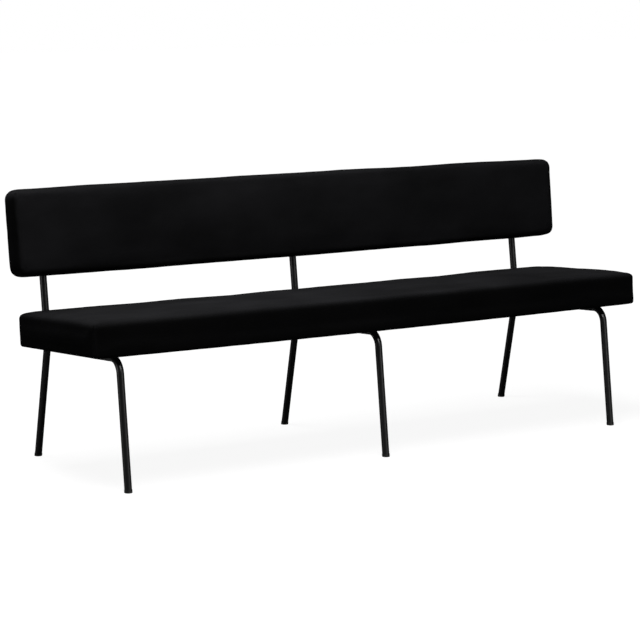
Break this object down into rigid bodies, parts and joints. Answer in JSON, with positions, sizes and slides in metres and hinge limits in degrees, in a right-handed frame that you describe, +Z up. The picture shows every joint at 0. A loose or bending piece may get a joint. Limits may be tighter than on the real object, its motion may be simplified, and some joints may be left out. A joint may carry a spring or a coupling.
{
  "type": "upholstered dining bench",
  "caption": "Long velvet-upholstered dining bench with a low leaning back, on bent black steel tube frames with splayed legs.",
  "frame": {"origin": "on the floor, halfway along the bench and halfway between the front and rear feet", "axes": "+X along the bench, to the right as seen from the front; -Y is the front, where a sitter's legs hang; +Z up"},
  "size_m": [2.01, 0.6089, 0.8323],
  "materials": {
    "black_velvet": "matte",
    "white_wadding": "matte",
    "upholstery_foam": "matte",
    "birch_plywood": "matte",
    "fibreboard": "matte",
    "black_nonwoven": "matte",
    "black_powder_coat": "satin",
    "black_plastic": "matte",
    "black_steel": "satin",
    "zinc_steel": "satin"
  },
  "bodies": {
    "root": {"left_front_tube": "black_powder_coat", "left_rear_tube": "black_powder_coat", "left_weld_bead": "black_powder_coat", "left_front_glide": "black_plastic", "left_rear_glide": "black_plastic", "left_upright_cap": "black_plastic", "middle_front_tube": "black_powder_coat", "middle_rear_tube": "black_powder_coat", "middle_weld_bead": "black_powder_coat", "middle_front_glide": "black_plastic", "middle_rear_glide": "black_plastic", "middle_upright_cap": "black_plastic", "right_front_tube": "black_powder_coat", "right_rear_tube": "black_powder_coat", "right_weld_bead": "black_powder_coat", "right_front_glide": "black_plastic", "right_rear_glide": "black_plastic", "right_upright_cap": "black_plastic", "seat_cover": "black_velvet", "seat_wadding": "white_wadding", "seat_foam": "upholstery_foam", "seat_board": "birch_plywood", "seat_staples": "zinc_steel", "seat_tee_nuts": "zinc_steel", "seat_bolts": "black_steel", "seat_saddle_washers": "black_plastic", "backrest_cover": "black_velvet", "backrest_wadding": "white_wadding", "backrest_foam": "upholstery_foam", "backrest_board": "birch_plywood", "backrest_staples": "zinc_steel", "backrest_tee_nuts": "zinc_steel", "backrest_bolts": "black_steel", "backrest_saddle_washers": "black_plastic", "seat_dust_cloth": "black_nonwoven", "backrest_rear_board": "fibreboard", "backrest_rear_skin": "black_velvet"}
  },
  "joints": []
}
